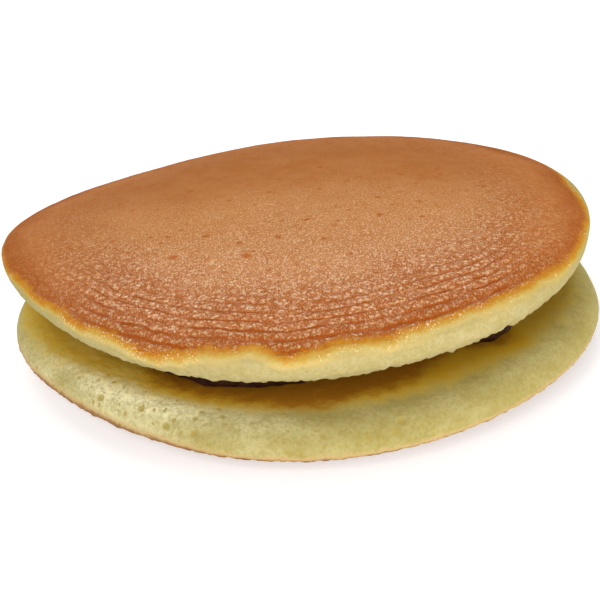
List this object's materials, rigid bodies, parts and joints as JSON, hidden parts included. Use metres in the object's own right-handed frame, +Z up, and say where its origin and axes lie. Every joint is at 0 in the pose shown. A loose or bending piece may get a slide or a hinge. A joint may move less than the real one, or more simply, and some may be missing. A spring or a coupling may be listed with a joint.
{
  "type": "red bean dorayaki",
  "caption": "Sandwich sweet: round griddle cakes, browned outside and pale at the edge, with dark bean paste showing in the gap between them.",
  "frame": {"origin": "centre of the base: under the middle of the bounding box, on the surface that the lower cake stands on", "axes": "+Z up through the lower cake, the paste and the upper cake; -Y is the front, where the gap between the cakes is widest; +X is to the right seen from the front"},
  "size_m": [0.1016, 0.1018, 0.0252],
  "materials": {
    "upper_cake": "satin browned crust with fine rings at its rim, over a pale yellow crumb wall",
    "paste": "moist dark red bean paste, coarse with bean skins",
    "lower_cake": "matt pale crumb with pores on the sides and top face, browned crust underneath"
  },
  "bodies": {
    "root": {"upper_pancake": "upper_cake", "bean_paste": "paste", "lower_pancake": "lower_cake"}
  },
  "joints": []
}
